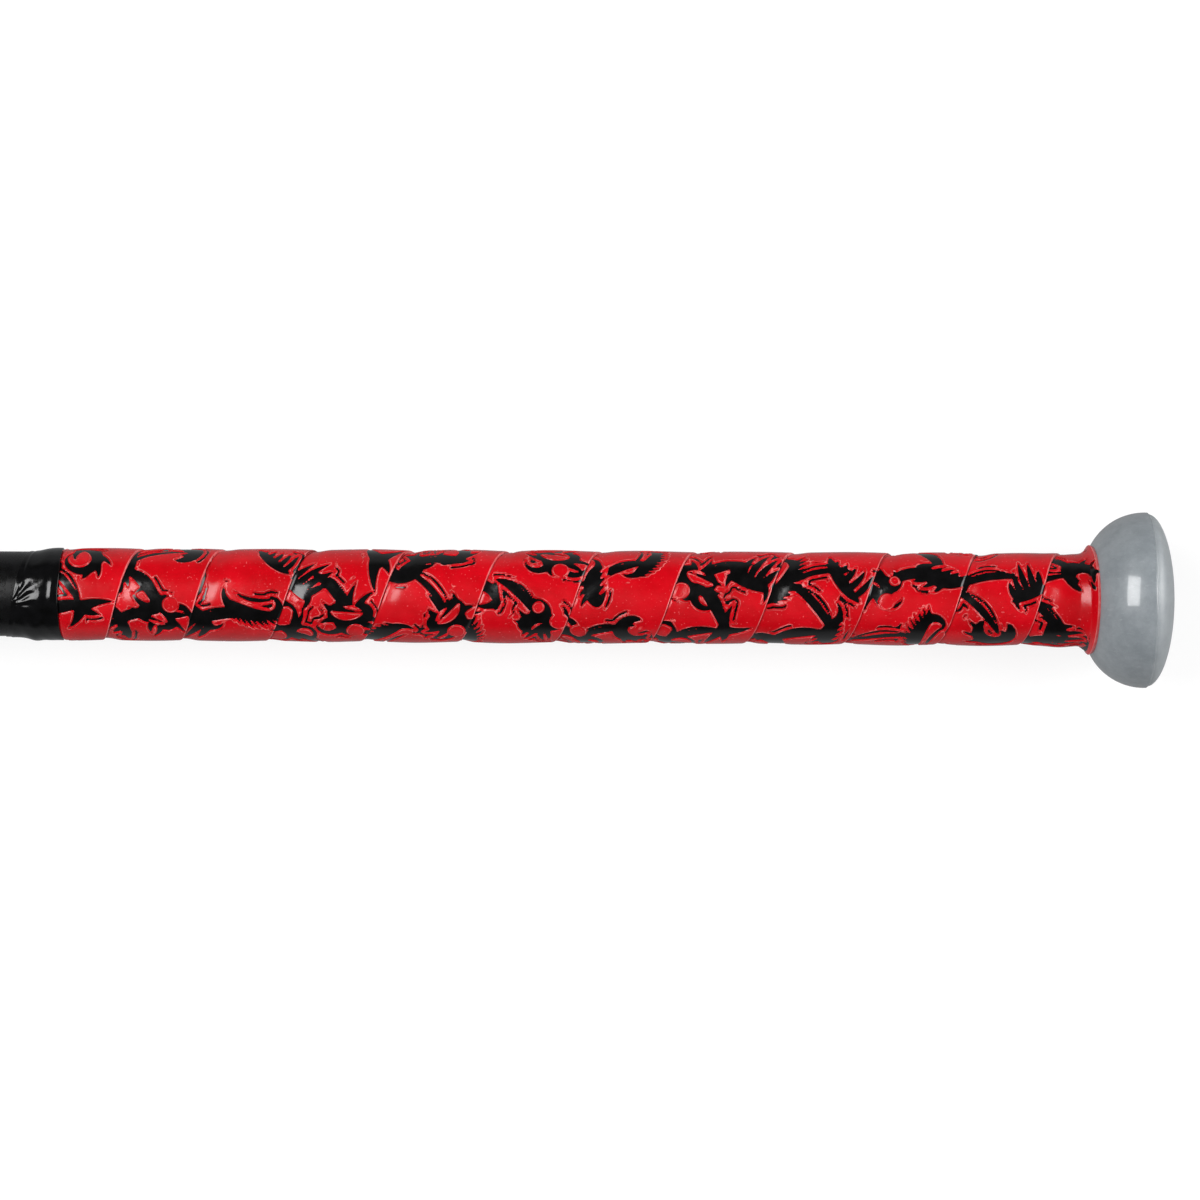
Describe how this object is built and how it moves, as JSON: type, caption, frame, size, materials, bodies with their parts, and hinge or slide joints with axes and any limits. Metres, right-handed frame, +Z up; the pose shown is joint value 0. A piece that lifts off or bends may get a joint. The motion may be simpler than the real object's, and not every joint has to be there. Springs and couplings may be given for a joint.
{
  "type": "devil stick",
  "caption": "Straight juggling stick with a wrapped grip on each half, soft round knobs at its ends and a bare sleeved middle.",
  "frame": {"origin": "middle of the stick, on its axis", "axes": "+X along the stick towards the knob that the reference view shows, +Z up and towards that view, which looks down on the stick where it lies"},
  "size_m": [0.6492, 0.0418, 0.0418],
  "materials": {
    "tube": "drawn",
    "sleeve": "satin",
    "plug": "matte",
    "knob": "satin",
    "washer": "zinc plated",
    "screw": "zinc plated",
    "grip": "embossed satin",
    "tape": "glossy"
  },
  "bodies": {
    "root": {"core_tube": "tube", "tube_sleeve": "sleeve", "end_plug_right": "plug", "end_plug_left": "plug", "knob_right": "knob", "knob_left": "knob", "knob_washer_right": "washer", "knob_washer_left": "washer", "knob_screw_right": "screw", "knob_screw_left": "screw", "grip_right": "grip", "grip_left": "grip", "finishing_tape_right": "tape", "finishing_tape_left": "tape"}
  },
  "joints": []
}
